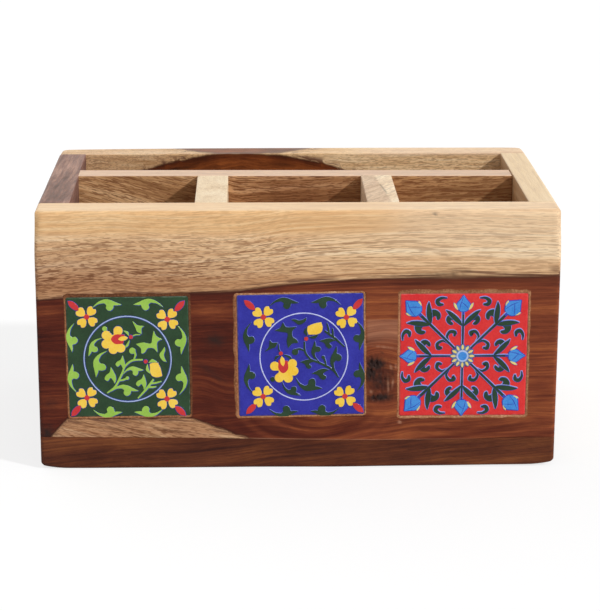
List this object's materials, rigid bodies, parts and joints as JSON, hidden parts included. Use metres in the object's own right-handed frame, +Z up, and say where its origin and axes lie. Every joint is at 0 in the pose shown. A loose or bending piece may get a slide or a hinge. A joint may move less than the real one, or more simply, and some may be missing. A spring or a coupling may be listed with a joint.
{
  "type": "cutlery holder",
  "caption": "Open-topped wooden cutlery caddy with square wells in front, a long slot behind, and painted glazed tiles let into its front plank.",
  "frame": {"origin": "middle of the underside of the base board", "axes": "+X along the width, to the right as seen from the tiled front; -Y towards the tiled front; +Z up"},
  "size_m": [0.21, 0.127, 0.108],
  "materials": {
    "base_wood": "hand-sanded, oiled",
    "front_wood": "hand-sanded, oiled",
    "back_wood": "hand-sanded, oiled",
    "left_side_wood": "hand-sanded, oiled",
    "right_side_wood": "hand-sanded, oiled",
    "long_divider_wood": "hand-sanded, oiled",
    "left_cross_wood": "hand-sanded, oiled",
    "right_cross_wood": "hand-sanded, oiled",
    "green_glaze": "glossy hand-painted glaze",
    "blue_glaze": "glossy hand-painted glaze",
    "red_glaze": "glossy hand-painted glaze",
    "tile_adhesive": "cured adhesive",
    "tile_putty": "tinted wood putty",
    "brad_steel": "bright drawn wire",
    "screw_steel": "yellow zinc plated",
    "brad_stopping": "tinted wood filler"
  },
  "bodies": {
    "root": {"base_board": "base_wood", "front_board": "front_wood", "back_board": "back_wood", "left_side_board": "left_side_wood", "right_side_board": "right_side_wood", "long_divider": "long_divider_wood", "left_cross_divider": "left_cross_wood", "right_cross_divider": "right_cross_wood", "green_tile": "green_glaze", "green_tile_bed": "tile_adhesive", "green_tile_putty": "tile_putty", "blue_tile": "blue_glaze", "blue_tile_bed": "tile_adhesive", "blue_tile_putty": "tile_putty", "red_tile": "red_glaze", "red_tile_bed": "tile_adhesive", "red_tile_putty": "tile_putty", "front_left_corner_brads": "brad_steel", "front_right_corner_brads": "brad_steel", "back_left_corner_brads": "brad_steel", "back_right_corner_brads": "brad_steel", "long_divider_left_brads": "brad_steel", "long_divider_right_brads": "brad_steel", "left_cross_divider_front_brads": "brad_steel", "right_cross_divider_front_brads": "brad_steel", "left_cross_divider_rear_brads": "brad_steel", "right_cross_divider_rear_brads": "brad_steel", "front_board_screws": "screw_steel", "back_board_screws": "screw_steel", "long_divider_screws": "screw_steel", "front_brad_stoppings": "brad_stopping", "back_brad_stoppings": "brad_stopping", "left_side_brad_stoppings": "brad_stopping", "right_side_brad_stoppings": "brad_stopping", "long_divider_brad_stoppings": "brad_stopping"}
  },
  "joints": []
}
